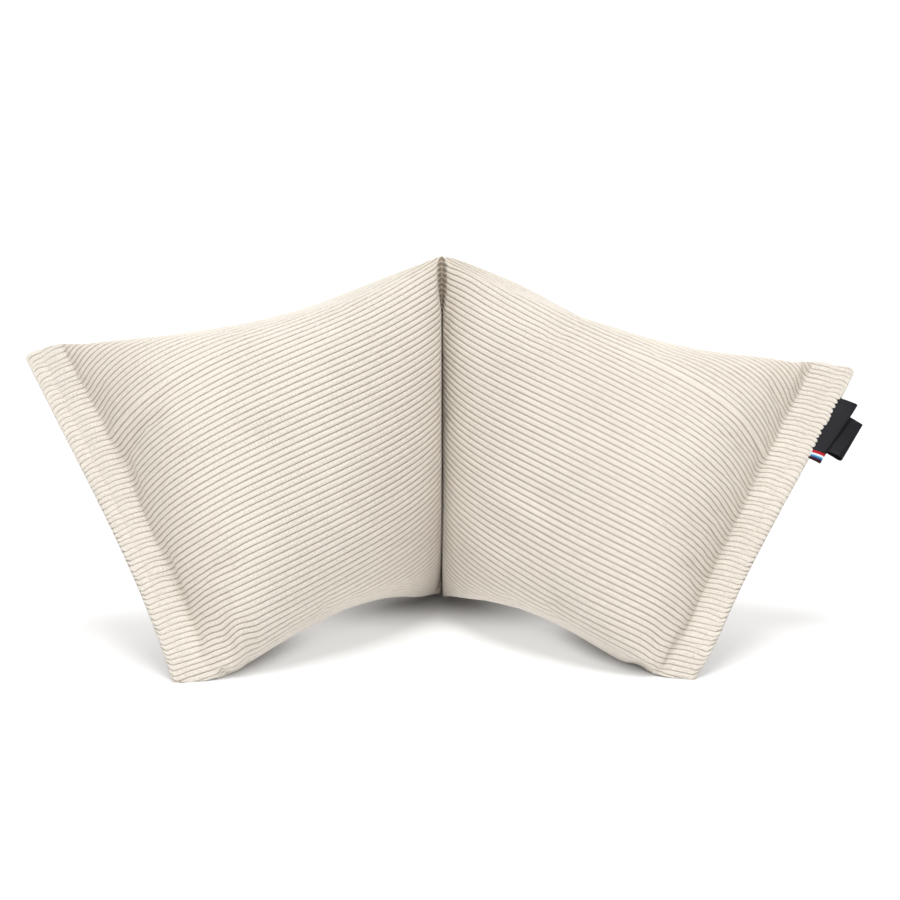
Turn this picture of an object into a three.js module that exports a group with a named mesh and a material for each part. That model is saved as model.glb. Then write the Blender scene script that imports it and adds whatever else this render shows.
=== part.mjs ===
// Neck pillow of cream wide-rib cloth, standing on its long edge and opened like a book.
// One stuffed tube is sewn through at the middle, and sewn flat at both ends, where it runs on as a hem.
// Millimetres, +Z up. The two wings open towards -Y. The origin is the foot of the centre seam.

import * as THREE from 'three';

// Cloth
const ribPitch = 4.3;
const ribsAcross = 70; // across the flat width of the tube
const ribsRound = 2 * ribsAcross;
const spineStretch = 5; // the filling pulls the centre seam a little longer than the hems
const seamLength = ribPitch * ribsAcross + spineStretch;
const ribRelief = 0.9; // crest above groove
const seamRelief = 0.4; // share of the relief left where the cloth is sewn flat
const seamThickness = 4.8; // two layers, sewn together

// Standing
const spineLean = 52; // the seam's top end is this far in front of its foot
const footPress = 3.5; // how far the pillow's weight presses its feet down
const footSpread = 2; // what would hang this little above the surface lies on it too
const wingGap = 1; // between the wings, where their fronts press together

// The hems are sewn turned against the centre seam: this many ribs lie between the top end of a hem
// and the rib that reaches the top end of the centre seam.
const hemTurn = 22.5;

// Places of each wing's seam ends: x outwards, y and z as in the part. sag moves the wing's middle line.
// drawIn is the share of its height that the filling takes, and topEase and footEase say how gently the
// top and lower edges draw in from both seams. The ribs turn round the tube by ribDrift halfway, by spin
// beside the centre seam, by climb beside the hem's crease, and by hemSkew over the hem. The crease and
// the hem's edge are hollow: depth at the middle, and toFoot above 0 for more towards the foot.
// The bulges stand out from the flat tube: depth at their fullest, an edge below 1 for full shoulders at
// the centre seam and at the hem, and toHem above 0 for more depth towards the hem.
const wings = [
  {
    side: -1,
    creaseTop: [302.5, -109.8, 240.4], creaseFoot: [175.6, -255.5, 3], creaseHollow: { depth: 6.5, toFoot: 0 },
    hemTop: [335.5, -103, 229], hemFoot: [203.5, -260, 0], hemHollow: { depth: 6, toFoot: 0.7 },
    sag: [-13.2, -23.8, 7.5], turnEase: 0.04, drawIn: 0.211, topEase: 0.736, footEase: 1.066,
    ribDrift: 2.48, spin: { ribs: 1.42, within: 0.06 }, climb: { ribs: 2.01, within: 0.062 }, hemSkew: 1.07,
    front: { depth: 56.8, seamEdge: 0.665, hemEdge: 0.738, toHem: 0.08 },
    back: { depth: 121.2, seamEdge: 0.542, hemEdge: 0.705, toHem: 0.054 },
  },
  {
    side: 1,
    creaseTop: [301.8, -79.7, 219.8], creaseFoot: [169.4, -246.1, 3], creaseHollow: { depth: 1.5, toFoot: 0 },
    hemTop: [336.5, -82.6, 213.5], hemFoot: [198.5, -254, 0], hemHollow: { depth: 4.5, toFoot: 1.1 },
    sag: [-19.4, -29.9, 13], turnEase: 0.501, drawIn: 0.218, topEase: 0.716, footEase: 1.028,
    ribDrift: 1.43, spin: { ribs: 2.37, within: 0.06 }, climb: { ribs: 6.2, within: 0.1 }, hemSkew: 0.43,
    front: { depth: 42.7, seamEdge: 0.894, hemEdge: 0.58, toHem: 0.08 },
    back: { depth: 134.9, seamEdge: 0.413, hemEdge: 0.641, toHem: 0.136 },
  },
];
const stations = [0.03, 0.11, 0.26, 0.45, 0.65, 0.82, 0.92, 0.97, 1]; // centre seam to the hem's crease
const pointsPerRib = 2; // a groove and a crest
const pointsRound = pointsPerRib * ribsRound;
const outlineSteps = 720;

// Folded labels in the edge of the right hem: start and end along the edge, from its top end
const labelThickness = 1.4; // two leaves, pressed together
const labelSeat = 0.5; // from the hem's edge
const labels = [
  { name: 'front_label', start: 30.5, end: 91, reach: 12, behind: -1.1, swing: 2, colour: 0x17171c },
  { name: 'care_label', start: 41, end: 79.5, reach: 25, behind: 1.1, swing: -9, colour: 0x15151a },
];

const spineTop = new THREE.Vector3(0, -spineLean, Math.sqrt(seamLength ** 2 - spineLean ** 2));
const spineUp = spineTop.clone().normalize();
const spineOut = new THREE.Vector3().crossVectors(spineUp, new THREE.Vector3(-1, 0, 0));
const fullest = (u) => 4 * u * (1 - u); // 0 at both seams, 1 halfway

function placed(wing, [x, y, z]) {
  return new THREE.Vector3(wing.side * x, y, z);
}

function bulge(shape, u) {
  const edge = THREE.MathUtils.lerp(shape.seamEdge, shape.hemEdge, u * u * (3 - 2 * u));
  return shape.depth * fullest(u) ** edge * (1 + shape.toHem * (2 * u - 1));
}

// The rib at the wing's top end, counted from the hem's
function turnedRibs({ ribDrift, spin, climb }, u) {
  const bySeam = spin.ribs * (1 - Math.exp(-u / spin.within)) * (1 - u);
  const byHem = climb.ribs * (1 - Math.exp((u - 1) / climb.within)) * u;
  return hemTurn * (1 - u) + ribDrift * fullest(u) + bySeam + byHem;
}

// How far a hollow edge lies inside its straight line, at a share of its half length from -1 to 1
function inside({ depth, toFoot }, share) {
  return depth * (1 - share ** 2) * (1 - toFoot * share);
}

// A straight seam or edge: its middle, its direction up, its half length and its outward front
function edgeFrame(foot, top, outwards, side) {
  const up = new THREE.Vector3().subVectors(top, foot);
  const half = up.length() / 2;
  up.normalize();
  const out = new THREE.Vector3().crossVectors(up, outwards).multiplyScalar(-side).normalize();
  const middle = foot.clone().add(top).multiplyScalar(0.5);
  return { middle, up, half, above: half, below: half, out, outwards };
}

function hemFrame(wing) {
  const [foot, top] = [placed(wing, wing.hemFoot), placed(wing, wing.hemTop)];
  const outwards = foot.clone().add(top).sub(placed(wing, wing.creaseFoot)).sub(placed(wing, wing.creaseTop));
  return edgeFrame(foot, top, outwards.normalize(), wing.side);
}

// The stuffed wing at u: its height turns from the centre seam's direction to the crease's
function wingFrame(wing, u) {
  const [foot, top] = [placed(wing, wing.creaseFoot), placed(wing, wing.creaseTop)];
  const sag = placed(wing, wing.sag);
  const seamMiddle = spineTop.clone().multiplyScalar(0.5);
  const creaseMiddle = foot.clone().add(top).multiplyScalar(0.5);
  const middle = seamMiddle.clone().lerp(creaseMiddle, u).addScaledVector(sag, fullest(u));
  const outwards = creaseMiddle.clone().sub(seamMiddle).addScaledVector(sag, 4 - 8 * u).normalize();
  const creaseUp = top.clone().sub(foot);
  const turned = u + wing.turnEase * u * (1 - u);
  const up = spineUp.clone().lerp(creaseUp.clone().normalize(), turned).normalize();
  const out = new THREE.Vector3().crossVectors(up, outwards).multiplyScalar(-wing.side).normalize();
  const half = THREE.MathUtils.lerp(seamLength, creaseUp.length(), u) / 2;
  const above = half * (1 - wing.drawIn * fullest(u) ** wing.topEase);
  const below = half * (1 - wing.drawIn * fullest(u) ** wing.footEase);
  return { middle, up, half, above, below, out, outwards };
}

// A closed outline from the top end down the front and up the back, cut into equal lengths of cloth.
// It returns [up, out, normal up, normal out] for each groove and crest, the first at the given rib.
function outline({ above, below }, front, back, edge, firstRib) {
  const points = [];
  for (let i = 0; i <= outlineSteps; i += 1) {
    const angle = (2 * Math.PI * i) / outlineSteps;
    const height = Math.cos(angle) >= 0 ? above : below;
    const depth = Math.sin(angle) >= 0 ? front : -back;
    points.push([height * Math.cos(angle), depth * Math.abs(Math.sin(angle)) ** edge]);
  }
  const lengths = [0];
  for (let i = 1; i <= outlineSteps; i += 1) {
    const [a, b] = [points[i - 1], points[i]];
    lengths.push(lengths[i - 1] + Math.hypot(b[0] - a[0], b[1] - a[1]));
  }
  const round = lengths[outlineSteps];
  const cut = [];
  let step = 1;
  const offset = Math.ceil(firstRib * pointsPerRib);
  for (let k = 0; k < pointsRound; k += 1) {
    const at = ((k + offset - firstRib * pointsPerRib) / pointsRound) * round;
    while (step < outlineSteps && lengths[step] < at) step += 1;
    const [a, b] = [points[step - 1], points[step]];
    const t = (at - lengths[step - 1]) / (lengths[step] - lengths[step - 1]);
    const tangent = Math.hypot(b[0] - a[0], b[1] - a[1]);
    cut[THREE.MathUtils.euclideanModulo(k + offset, pointsRound)] = [
      THREE.MathUtils.lerp(a[0], b[0], t), THREE.MathUtils.lerp(a[1], b[1], t),
      (b[1] - a[1]) / tangent, (a[0] - b[0]) / tangent,
    ];
  }
  return cut;
}

// One ring of cloth, its grooves and crests raised, its wing kept off the other and its feet on the floor
function ring(frame, { front, back, edge, firstRib, relief, hollow, side }) {
  return outline(frame, front, back, edge, firstRib).map(([up, out, normalUp, normalOut], index) => {
    const lift = (index % pointsPerRib === 0 ? -0.5 : 0.5) * ribRelief * relief;
    const point = frame.middle.clone()
      .addScaledVector(frame.up, up + lift * normalUp)
      .addScaledVector(frame.out, out + lift * normalOut)
      .addScaledVector(frame.outwards, -inside(hollow, up / frame.half));
    if (side !== 0) point.x = side * Math.max(side * point.x, wingGap / 2);
    point.z = point.z < footPress + footSpread ? 0 : point.z - footPress;
    return point;
  });
}

const flatEdge = 0.45; // outline of a sewn, flat end: nearly square
const flatSection = {
  front: seamThickness / 2, back: seamThickness / 2, edge: flatEdge, relief: seamRelief,
};

function wingRings(wing) {
  const rings = stations.map((u) => {
    const filled = fullest(u) ** 0.5;
    return ring(wingFrame(wing, u), {
      front: seamThickness / 2 + bulge(wing.front, u),
      back: seamThickness / 2 + bulge(wing.back, u),
      edge: THREE.MathUtils.lerp(flatEdge, 1, filled),
      relief: THREE.MathUtils.lerp(seamRelief, 1, filled),
      firstRib: turnedRibs(wing, u),
      hollow: { ...wing.creaseHollow, depth: wing.creaseHollow.depth * u ** 4 },
      side: wing.side,
    });
  });
  const hemEnd = { firstRib: -wing.hemSkew, hollow: wing.hemHollow, side: wing.side };
  rings.push(ring(hemFrame(wing), { ...flatSection, ...hemEnd }));
  return rings;
}

function centreSeamRing() {
  const frame = {
    middle: spineTop.clone().multiplyScalar(0.5), up: spineUp, out: spineOut, outwards: new THREE.Vector3(),
    half: seamLength / 2, above: seamLength / 2, below: seamLength / 2,
  };
  return ring(frame, { ...flatSection, firstRib: hemTurn, hollow: { depth: 0, toFoot: 0 }, side: 0 });
}

function clothSolid(rings) {
  const positions = rings.flat().flatMap((point) => point.toArray());
  const faces = [];
  const at = (row, column) => row * pointsRound + ((column + pointsRound) % pointsRound);
  for (let row = 0; row < rings.length - 1; row += 1) {
    for (let column = 0; column < pointsRound; column += 1) {
      faces.push(at(row, column), at(row, column + 1), at(row + 1, column + 1));
      faces.push(at(row, column), at(row + 1, column + 1), at(row + 1, column));
    }
  }
  const last = rings.length - 1;
  for (let column = 0; column < pointsRound / 2; column += 1) {
    const [near, next, far, beyond] = [column, column + 1, -column, -column - 1];
    if (column > 0) {
      faces.push(at(0, near), at(0, far), at(0, next));
      faces.push(at(last, near), at(last, next), at(last, far));
    }
    if (column < pointsRound / 2 - 1) {
      faces.push(at(0, far), at(0, beyond), at(0, next));
      faces.push(at(last, far), at(last, next), at(last, beyond));
    }
  }
  const geometry = new THREE.BufferGeometry();
  geometry.setAttribute('position', new THREE.Float32BufferAttribute(positions, 3));
  geometry.setIndex(faces);
  geometry.computeVertexNormals();
  return geometry;
}

// A label folded lengthways, its two leaves together, with the round fold at its far side
function foldedLabel({ reach, start, end }) {
  const radius = labelThickness / 2;
  const shape = new THREE.Shape();
  shape.moveTo(0, -radius);
  shape.lineTo(reach - radius, -radius);
  shape.absarc(reach - radius, 0, radius, -Math.PI / 2, Math.PI / 2, false);
  shape.lineTo(0, radius);
  shape.closePath();
  return new THREE.ExtrudeGeometry(shape, { depth: end - start, bevelEnabled: false, curveSegments: 8 });
}

// A point of a hem's edge, measured along the edge from its top end
function hemEdge(wing, distance) {
  const frame = hemFrame(wing);
  const up = frame.half - distance;
  const point = frame.middle.clone().addScaledVector(frame.up, up);
  point.addScaledVector(frame.outwards, -inside(wing.hemHollow, up / frame.half));
  point.z -= footPress;
  return point;
}

function labelMesh(wing, label) {
  const frame = hemFrame(wing);
  const foot = hemEdge(wing, label.end);
  const along = hemEdge(wing, label.start).sub(foot).normalize();
  const outwards = frame.outwards.clone().addScaledVector(along, -frame.outwards.dot(along)).normalize();
  outwards.applyAxisAngle(along, THREE.MathUtils.degToRad(-label.swing));
  const across = new THREE.Vector3().crossVectors(along, outwards);
  const mesh = new THREE.Mesh(
    foldedLabel(label),
    new THREE.MeshStandardMaterial({ color: label.colour, roughness: 0.75, metalness: 0 }),
  );
  mesh.name = label.name;
  mesh.quaternion.setFromRotationMatrix(new THREE.Matrix4().makeBasis(outwards, across, along));
  mesh.position.copy(foot).addScaledVector(outwards, labelSeat).addScaledVector(across, label.behind);
  return mesh;
}

const [leftWing, rightWing] = wings;
const cover = new THREE.Mesh(
  clothSolid([...wingRings(leftWing).reverse(), centreSeamRing(), ...wingRings(rightWing)]),
  new THREE.MeshStandardMaterial({ color: 0xe9e1d2, roughness: 0.95, metalness: 0 }),
);
cover.name = 'pillow_cover';

const group = new THREE.Group();
group.add(cover, ...labels.map((label) => labelMesh(rightWing, label)));

export default group;
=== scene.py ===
# Neck pillow of cream wide-rib cloth, standing on its long edge and opened like a book
import math

import bpy
import numpy as np
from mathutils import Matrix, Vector


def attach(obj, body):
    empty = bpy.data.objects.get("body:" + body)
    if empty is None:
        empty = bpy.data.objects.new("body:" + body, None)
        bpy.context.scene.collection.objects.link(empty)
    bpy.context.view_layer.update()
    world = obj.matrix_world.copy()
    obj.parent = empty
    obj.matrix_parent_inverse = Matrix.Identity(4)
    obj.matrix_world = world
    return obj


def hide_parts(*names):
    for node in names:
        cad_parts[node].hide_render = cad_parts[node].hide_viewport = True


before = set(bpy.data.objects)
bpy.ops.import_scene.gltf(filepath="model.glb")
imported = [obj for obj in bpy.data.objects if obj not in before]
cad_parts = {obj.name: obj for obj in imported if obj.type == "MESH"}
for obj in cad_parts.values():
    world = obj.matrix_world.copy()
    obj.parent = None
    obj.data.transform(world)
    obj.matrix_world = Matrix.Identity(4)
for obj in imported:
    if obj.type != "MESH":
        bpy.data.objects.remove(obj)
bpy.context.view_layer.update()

metre = 0.001  # the cloth is worked out in millimetres
print("frame loaded")

# The camera, where the photo was taken from
photoView = {
    "place": (0.00675, -2.1212, 0.5934),
    "lookDown": 12.47,  # degrees
    "lens": 102.05,
    "sensor": 36.0,
}
cameraData = bpy.data.cameras.new("photoCamera")
cameraData.sensor_width = photoView["sensor"]
cameraData.lens = photoView["lens"]
camera = bpy.data.objects.new("photoCamera", cameraData)
camera.location = photoView["place"]
camera.rotation_euler = (math.radians(90 - photoView["lookDown"]), 0, 0)
bpy.context.scene.collection.objects.link(camera)
bpy.context.scene.camera = camera
bpy.context.scene.view_settings.view_transform = "Standard"
print("camera placed")


# Small helpers for nodes, shared by the materials and the Geometry Nodes trees
class Value:  # a node's output that takes part in Python sums
    def __init__(self, graph, output):
        self.graph = graph
        self.output = output

    def __add__(self, other):
        return self.graph.math("ADD", self, other)

    def __sub__(self, other):
        return self.graph.math("SUBTRACT", self, other)

    def __rsub__(self, other):
        return self.graph.math("SUBTRACT", other, self)

    def __mul__(self, other):
        return self.graph.math("MULTIPLY", self, other)

    def __pow__(self, other):
        return self.graph.math("POWER", self, other)

    __radd__ = __add__
    __rmul__ = __mul__


class Graph:
    def __init__(self, tree):
        self.tree = tree

    def add(self, kind, settings=None, inputs=None):
        node = self.tree.nodes.new(kind)
        for name, value in (settings or {}).items():
            setattr(node, name, value)
        for name, value in (inputs or {}).items():
            if isinstance(value, Value):
                self.tree.links.new(value.output, node.inputs[name])
            else:
                node.inputs[name].default_value = value
        return node

    def value(self, kind, settings=None, inputs=None, output=0):
        return Value(self, self.add(kind, settings, inputs).outputs[output])

    def math(self, operation, *terms):
        return self.value("ShaderNodeMath", {"operation": operation}, dict(enumerate(terms)))

    def mixColour(self, share, first, second):
        return self.value("ShaderNodeMix", {"data_type": "RGBA"}, {0: share, 6: first, 7: second}, 2)

    def ease(self, value, low, high):
        return self.value(
            "ShaderNodeMapRange", {"interpolation_type": "SMOOTHSTEP"},
            {"Value": value, "From Min": low, "From Max": high},
        )

    def objectPlace(self):
        return self.value("ShaderNodeTexCoord", None, None, 3)

    def mapPlace(self, name):  # the two coordinates of a piece's UV map
        uv = self.value("ShaderNodeUVMap", {"uv_map": name})
        split = self.add("ShaderNodeSeparateXYZ", None, {0: uv})
        return Value(self, split.outputs[0]), Value(self, split.outputs[1])

    def noise(self, scale, vector=None, detail=2.0):
        return self.value(
            "ShaderNodeTexNoise", None,
            {"Vector": vector or self.objectPlace(), "Scale": scale, "Detail": detail},
        )

    def finish(self, shader, colour, roughness, height, strength, depth):
        relief = {"Height": height, "Strength": strength, "Distance": depth}
        bump = self.value("ShaderNodeBump", None, relief)
        for socket, value in (("Base Color", colour), ("Roughness", roughness), ("Normal", bump)):
            self.tree.links.new(value.output, shader.inputs[socket])


def shaded(colour, share):  # a colour with its three channels scaled
    return tuple(share * channel for channel in colour[:3]) + (1,)


def newMaterial(name, fixed):
    material = bpy.data.materials.new(name)
    material.use_nodes = True
    graph = Graph(material.node_tree)
    shader = material.node_tree.nodes["Principled BSDF"]
    for socket, value in fixed.items():
        shader.inputs[socket].default_value = value
    return material, graph, shader


def treeOf(name, inputs):
    tree = bpy.data.node_groups.new(name, "GeometryNodeTree")
    tree.interface.new_socket("Geometry", in_out="INPUT", socket_type="NodeSocketGeometry")
    for label, (kind, value) in inputs.items():
        socket = tree.interface.new_socket(label, in_out="INPUT", socket_type="NodeSocket" + kind)
        if value is not None:
            socket.default_value = value
    tree.interface.new_socket("Geometry", in_out="OUTPUT", socket_type="NodeSocketGeometry")
    graph = Graph(tree)
    start = graph.add("NodeGroupInput")
    given = {output.name: Value(graph, output) for output in start.outputs if output.name}
    return graph, given


def endTree(graph, geometry, material):
    real = graph.value("GeometryNodeRealizeInstances", None, {0: geometry})
    painted = graph.value("GeometryNodeSetMaterial", None, {"Geometry": real, "Material": material})
    graph.add("NodeGroupOutput", None, {0: painted})
    return graph.tree


def applyModifiers(piece):
    graph = bpy.context.evaluated_depsgraph_get()
    made = bpy.data.meshes.new_from_object(
        piece.evaluated_get(graph), preserve_all_data_layers=True, depsgraph=graph
    )
    piece.modifiers.clear()
    piece.data = made
    made.name = piece.name


def applyTree(piece, tree, values):
    modifier = piece.modifiers.new(tree.name, "NODES")
    modifier.node_group = tree
    for item in tree.interface.items_tree:
        if item.item_type == "SOCKET" and item.in_out == "INPUT" and item.name in values:
            modifier[item.identifier] = values[item.name]
    applyModifiers(piece)


def flattenFoot(piece):  # nothing goes into the floor
    places = np.zeros(len(piece.data.vertices) * 3, np.float32)
    piece.data.vertices.foreach_get("co", places)
    places[2::3] = np.maximum(places[2::3], 0)
    piece.data.vertices.foreach_set("co", places)


def newPiece(name, points, faces=(), edges=()):
    mesh = bpy.data.meshes.new(name)
    mesh.from_pydata(np.asarray(points).tolist(), edges, faces)
    mesh.shade_smooth()
    piece = bpy.data.objects.new(name, mesh)
    bpy.context.scene.collection.objects.link(piece)
    return piece


# The shape of the cloth, in millimetres
cloth = {
    "ribPitch": 4.3,
    "ribsAcross": 70,
    "seamThickness": 4.8,
    "hemTurn": 22.5,  # ribs between a hem's top end and the rib that reaches the centre seam's top end
    "spineStretch": 5,
    "spineLean": 52,
    "footPress": 3.5,
    "wingGap": 1,
    "seamToHem": 325,
    "flatEdge": 0.45,
    "ribSteps": (0, 0.07, 0.18, 0.34, 0.5, 0.66, 0.82, 0.93),
    "wall": {"height": 20, "width": 0.1, "fades": 0.42, "roundness": 0.8},  # full front beside the crease
    "footRounding": {"from": 0.7, "nearest": 0.05, "fades": 0.36},  # low on the front, near the centre seam
    "valleySoftness": 1.6,
    "lips": {"height": 11, "from": 3.4, "fades": 55, "roundness": 0.3},  # fronts roll in at the centre seam
    "channel": {  # and stand apart at its top end
        "half": 3.3, "from": 0.06, "to": 0.18, "held": 0.95, "starts": 0.012, "ends": 0.3, "opens": 0.85,
    },
    "crease": {"softness": 2.4, "fades": 2, "reach": 5},  # fades and reach are in softnesses
    "smoothFoot": {"softness": 10, "fades": 1.3, "reach": 2.2},  # the crease runs out above the hem's foot
    "hemFootRib": 69,
    "hemFootRibs": 5.5,
    "footPullRibs": 5,
    "towardsFront": (0, -0.976, 0.216),
    "wingRows": 88,
    "rowsEven": 0.35,  # share of the rows' spacing that is even, the rest crowds at both seams
    "hemRows": 30,
    "hemEnd": 2.5,  # the rounded outer edge
    "edgeTurns": (0.35, 0.7, 1.0, 1.3, 1.5),  # angles of the rings round it
    "hemCorner": 5.0,
    "outlineSteps": 1440,
}
# spin and climb turn a wing's ribs beside the centre seam and the crease: how many ribs, over what share.
# front and back stand out from the flat tube: depth, edges at centre seam and at hem, more towards the hem.
# A dent is place, rib, reach along, reach in ribs, depth. swayed moves ribs sideways in the same way.
wings = (
    {
        "side": -1,
        "creaseTop": (302.5, -109.8, 240.4), "creaseFoot": (175.6, -255.5, 3), "creaseHollow": (6.5, 0),
        "hemTop": (335.5, -103, 229), "hemFoot": (203.5, -260, 0), "hemHollow": (6, 0.7),
        "sag": (-13.2, -23.8, 7.5), "turnEase": 0.04, "drawIn": 0.211, "topEase": 0.736, "footEase": 1.066,
        "ribDrift": 2.48, "spin": (1.42, 0.06), "climb": (2.01, 0.062), "skew": 1.07,
        "front": (56.8, 0.665, 0.738, 0.08), "back": (121.2, 0.542, 0.705, 0.054),
        "footRounding": 0.4, "footPull": 0, "wideRib": {"rib": 20.5, "from": 0.72, "wider": 0.2},
        "dents": ((0.93, 24.5, 0.06, 1.6, -2.6), (0.8, 22.8, 0.12, 1.3, -1.3), (0.9, 20.5, 0.2, 1.0, 1.0),
                  (0.88, 65, 0.022, 3.2, 1.3), (0.93, 63, 0.02, 3.8, -1.5), (0.97, 58, 0.02, 3, -0.8)),
        "swayed": ((0.868, 65, 0.026, 4, -0.5), (0.928, 62.5, 0.026, 4, 0.45), (0.82, 66, 0.03, 3, 0.2)),
    },
    {
        "side": 1,
        "creaseTop": (301.8, -79.7, 219.8), "creaseFoot": (169.4, -246.1, 3), "creaseHollow": (1.5, 0),
        "hemTop": (336.5, -82.6, 213.5), "hemFoot": (198.5, -254, 0), "hemHollow": (4.5, 1.1),
        "sag": (-19.4, -29.9, 13), "turnEase": 0.501, "drawIn": 0.218, "topEase": 0.716, "footEase": 1.028,
        "ribDrift": 1.43, "spin": (2.37, 0.06), "climb": (6.2, 0.1), "skew": 0.43,
        "front": (42.7, 0.894, 0.58, 0.08), "back": (134.9, 0.413, 0.641, 0.136),
        "footRounding": 0.12, "footPull": 4.5, "wideRib": {"rib": 22.5, "from": 0.5, "wider": 0.3},
        "dents": ((0.52, 52.5, 0.09, 2.6, -3.0), (0.8, 22.5, 0.3, 1.1, 1.3), (0.93, 25.5, 0.06, 1.8, -1.2),
                  (0.4, 60, 0.1, 3.5, -2.0), (0.945, 62.5, 0.03, 3.5, -2.2)),
        "swayed": ((0.95, 64, 0.025, 4, 0.4),),
    },
)
hem = {
    "shares": (0, 0.06, 0.16, 0.3, 0.45, 0.58, 0.68, 0.76, 0.86, 0.94, 1),  # from crease to edge
    "thickness": (3.2, 4.0, 5.2, 6.0, 5.6, 4.4, 2.8, 4.4, 5.4, 5.2, 5.0),
    "relief": (0.5, 0.75, 0.95, 1.0, 1.0, 0.85, 0.6, 0.85, 1.0, 1.0, 0.95),
    "arch": 0.35,  # ribs that the hem's middle is pushed up by
    "stitchShare": 0.68,
    "stitchStep": 5.4,
    "holeDepth": 0.8,
    "holeSize": 0.85,
    "rowHoleLength": 0.6,
    "creaseHoleShare": 0.6,
    "creaseHoleReach": 1.2,
    "puckerInner": 0.28,
    "puckerOuter": 0.5,
    "wobble": 0.16,
    "wobbleTurn": 1.4,
    "waveLengths": ((12, 2), (10, 2), (16, 3)),  # longest and shortest, in ribs: inner, outer, wobble
    "wavesEach": 9,
    "scallop": 0.7,
    "scallopFrom": 0.85,
    "edgeRelief": 0.9,
}
ribsRound = 2 * cloth["ribsAcross"]
flatLength = cloth["ribPitch"] * cloth["ribsAcross"]
seamLength = flatLength + cloth["spineStretch"]
ribPlaces = np.add.outer(np.arange(ribsRound), np.array(cloth["ribSteps"])).ravel()
columns = len(ribPlaces)
spineTop = np.array([0, -cloth["spineLean"], math.sqrt(seamLength**2 - cloth["spineLean"] ** 2)])
chance = np.random.default_rng(11)


def unit(vector):
    return vector / np.linalg.norm(vector)


def hump(distance, width):
    return np.exp(-((distance / width) ** 2))


def eased(share):  # from 0 to 1 with a soft start and end
    return share * share * (3 - 2 * share)


def fromTop(firstRib):  # 0 to 1 from the tube's top down its front to the foot, then on to 2 up the back
    return (ribPlaces - firstRib) % ribsRound / cloth["ribsAcross"]


def placed(wing, point):
    return np.array([wing["side"] * point[0], point[1], point[2]], float)


def fullest(u):
    return max(4 * u * (1 - u), 0)  # 0 at both seams, 1 halfway


def bulge(shape, u):
    depth, edgeAtSeam, edgeAtHem, toHem = shape
    edge = edgeAtSeam * (1 - eased(u)) + edgeAtHem * eased(u)
    return depth * fullest(u) ** edge * (1 + toHem * (2 * u - 1))


def turnedRibs(wing, u):
    (spin, spinWidth), (climb, climbWidth) = wing["spin"], wing["climb"]
    bySeam = spin * (1 - math.exp(-u / spinWidth)) * (1 - u)
    byHem = climb * (1 - math.exp(-(1 - u) / climbWidth)) * u
    return cloth["hemTurn"] * (1 - u) + wing["ribDrift"] * fullest(u) + bySeam + byHem


def edgeFrame(wing, foot, top, outwards):
    half = np.linalg.norm(top - foot) / 2
    up = unit(top - foot)
    out = unit(np.cross(up, outwards)) * -wing["side"]
    return {"middle": (foot + top) / 2, "up": up, "out": out, "outwards": outwards,
            "half": half, "above": half, "below": half}


def hemFrame(wing, share):
    crease = placed(wing, wing["creaseFoot"]), placed(wing, wing["creaseTop"])
    edge = placed(wing, wing["hemFoot"]), placed(wing, wing["hemTop"])
    foot, top = (a + (b - a) * share for a, b in zip(crease, edge))
    return edgeFrame(wing, foot, top, unit(edge[0] + edge[1] - crease[0] - crease[1]))


def wingFrame(wing, u):
    foot, top = placed(wing, wing["creaseFoot"]), placed(wing, wing["creaseTop"])
    sag = placed(wing, wing["sag"])
    span = (foot + top - spineTop) / 2
    outwards = unit(span + sag * (4 - 8 * u))
    turned = u + wing["turnEase"] * u * (1 - u)
    up = unit(unit(spineTop) * (1 - turned) + unit(top - foot) * turned)
    half = (seamLength * (1 - u) + np.linalg.norm(top - foot) * u) / 2
    return {
        "middle": spineTop / 2 + span * u + sag * fullest(u), "up": up,
        "out": unit(np.cross(up, outwards)) * -wing["side"], "outwards": outwards, "half": half,
        "above": half * (1 - wing["drawIn"] * fullest(u) ** wing["topEase"]),
        "below": half * (1 - wing["drawIn"] * fullest(u) ** wing["footEase"]),
    }


# A closed outline from the top end down the front and up the back, cut into equal lengths of cloth
def outline(section, front, back, edge, firstRib, places):
    angle = np.linspace(0, 2 * math.pi, cloth["outlineSteps"] + 1)
    up = np.where(np.cos(angle) >= 0, section["above"], section["below"]) * np.cos(angle)
    out = np.where(np.sin(angle) >= 0, front, -back) * np.abs(np.sin(angle)) ** edge
    lengths = np.concatenate([[0], np.cumsum(np.hypot(np.diff(up), np.diff(out)))])
    at = ((places - firstRib) % ribsRound) / ribsRound * lengths[-1]
    return np.interp(at, lengths, up), np.interp(at, lengths, out)


def softly(value, least, width):  # never under least, and without a kink
    return least + width * np.logaddexp(0, (value - least) / width)


def inside(hollow, share):  # how far a hollow edge lies inside its straight line, from foot -1 to top 1
    depth, toFoot = hollow
    return depth * (1 - share**2) * (1 - toFoot * share)


def ring(section, front, back, edge, firstRib, hollow, side, outwards=0.0, places=ribPlaces,
         gap=cloth["wingGap"] / 2):
    up, out = outline(section, front, back, edge, firstRib, places)
    shift = outwards - inside(hollow, up / section["half"])
    points = (section["middle"] + np.outer(up, section["up"]) + np.outer(out, section["out"])
              + np.outer(shift, section["outwards"]))
    if side:
        points[:, 0] = side * softly(side * points[:, 0], gap, cloth["valleySoftness"])
    points[:, 2] = np.maximum(points[:, 2] - cloth["footPress"], 0)
    return points


def waves(places, count, longest, shortest):  # smooth, seeded unevenness round the tube, about -1 to 1
    turns = chance.integers(ribsRound // longest, ribsRound // shortest, count)
    phases = chance.uniform(0, 2 * math.pi, count)
    rows = (np.sin(2 * math.pi * n * places / ribsRound + p) for n, p in zip(turns, phases))
    return sum(rows) / math.sqrt(count)


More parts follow.
